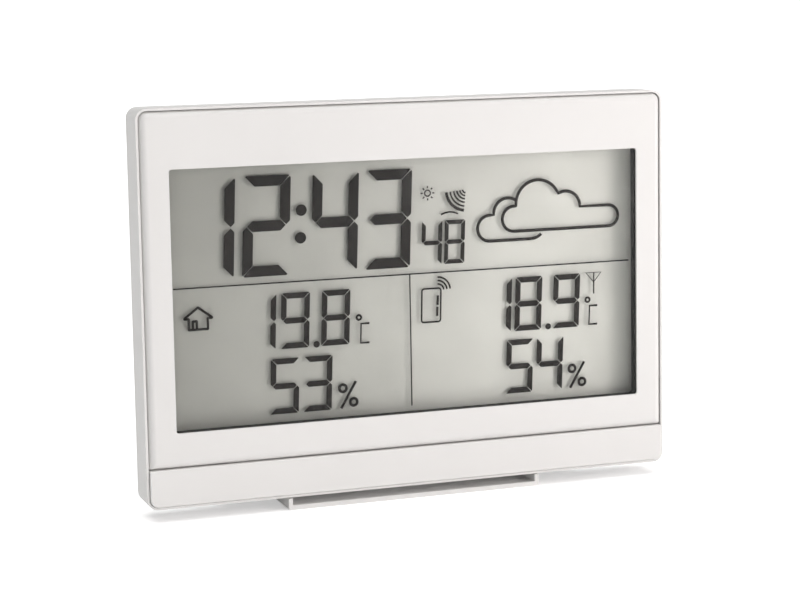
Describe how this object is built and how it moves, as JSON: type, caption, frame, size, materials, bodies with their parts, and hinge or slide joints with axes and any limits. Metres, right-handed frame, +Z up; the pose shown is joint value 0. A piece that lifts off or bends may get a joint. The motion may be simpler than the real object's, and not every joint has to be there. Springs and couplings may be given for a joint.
{
  "type": "home weather station",
  "caption": "Flat white desk or wall weather station: wide segment display in a slim housing with a battery pod behind, on a base plate that folds up against its back.",
  "frame": {"origin": "middle of the bounding box at its bottom, on the surface the base plate stands on", "axes": "+X to the right seen from the front, +Y from the display into the depth, +Z up"},
  "size_m": [0.173, 0.055, 0.1262],
  "materials": {
    "white_abs": "warm white ABS, very fine spark texture",
    "clear_acrylic": "clear polished acrylic pane",
    "black_foam": "matt black closed-cell foam",
    "lcd_glass": "liquid crystal cell, clear glass with polarisers",
    "reflector_film": "grey-green reflective film with a soft sheen",
    "elastomer": "silicone with carbon layers",
    "circuit_board": "green solder mask on glass-epoxy",
    "black_epoxy": "moulded black epoxy",
    "nickel_steel": "nickel-plated spring steel",
    "capacitor_sleeve": "shrink sleeve",
    "ceramic": "chip resistors",
    "sensor_case": "pale perforated case",
    "black_nylon": "black nylon",
    "zinc_screws": "zinc-plated steel",
    "battery_can": null,
    "red_wire": "PVC insulation",
    "black_wire": "PVC insulation",
    "ferrite": "dark grey sintered ferrite",
    "copper_coil": "enamelled copper winding",
    "brass_disc": "brass sounder disc",
    "grey_keys": "light grey ABS"
  },
  "bodies": {
    "housing": {"antenna_coil": "copper_coil", "antenna_leads": "copper_coil", "antenna_rod": "ferrite", "battery_lead_black": "black_wire", "battery_lead_red": "red_wire", "battery_lower": "battery_can", "battery_upper": "battery_can", "board_screws": "zinc_screws", "bridge_contact": "nickel_steel", "buzzer_disc": "brass_disc", "buzzer_leads": "red_wire", "case_screws": "zinc_screws", "chip_resistors": "ceramic", "climate_sensor": "sensor_case", "clock_crystal": "nickel_steel", "contact_springs": "nickel_steel", "contact_strip_lower": "elastomer", "contact_strip_upper": "elastomer", "controller_chip": "black_epoxy", "display_gasket": "black_foam", "display_window": "clear_acrylic", "filter_capacitors": "capacitor_sleeve", "front_bezel": "white_abs", "lcd_cell": "lcd_glass", "lcd_reflector": "reflector_film", "lower_trim": "white_abs", "main_circuit_board": "circuit_board", "negative_contact": "nickel_steel", "positive_contact": "nickel_steel", "radio_board": "circuit_board", "radio_shield": "nickel_steel", "rear_shell": "white_abs", "switch_bodies": "black_nylon"},
    "base": {"stand": "white_abs"},
    "door": {"battery_door": "white_abs"},
    "key_set": {"key_set": "grey_keys", "switch_plunger_set": "black_nylon"},
    "key_up": {"key_up": "grey_keys", "switch_plunger_up": "black_nylon"},
    "key_down": {"key_down": "grey_keys", "switch_plunger_down": "black_nylon"},
    "key_channel": {"key_channel": "grey_keys", "switch_plunger_channel": "black_nylon"},
    "key_memory": {"key_memory": "grey_keys", "switch_plunger_memory": "black_nylon"}
  },
  "joints": [
    {"name": "base_fold", "type": "hinge", "parent": "housing", "child": "base", "pos_m": [0, -0.01475, 0.01625], "axis": [1, 0, 0], "range_deg": [0, 90]},
    {"name": "battery_door_slide", "type": "slide", "parent": "housing", "child": "door", "axis": [0, 0, 1], "range_m": [0, 0.0484]},
    {"name": "key_set_press", "type": "slide", "parent": "housing", "child": "key_set", "axis": [0, -1, 0], "range_m": [0, 0.0006], "stiffness_N_per_m": 1500, "springref_m": -0.0002},
    {"name": "key_up_press", "type": "slide", "parent": "housing", "child": "key_up", "axis": [0, -1, 0], "range_m": [0, 0.0006], "stiffness_N_per_m": 1500, "springref_m": -0.0002},
    {"name": "key_down_press", "type": "slide", "parent": "housing", "child": "key_down", "axis": [0, -1, 0], "range_m": [0, 0.0006], "stiffness_N_per_m": 1500, "springref_m": -0.0002},
    {"name": "key_channel_press", "type": "slide", "parent": "housing", "child": "key_channel", "axis": [0, -1, 0], "range_m": [0, 0.0006], "stiffness_N_per_m": 1500, "springref_m": -0.0002},
    {"name": "key_memory_press", "type": "slide", "parent": "housing", "child": "key_memory", "axis": [0, -1, 0], "range_m": [0, 0.0006], "stiffness_N_per_m": 1500, "springref_m": -0.0002}
  ]
}
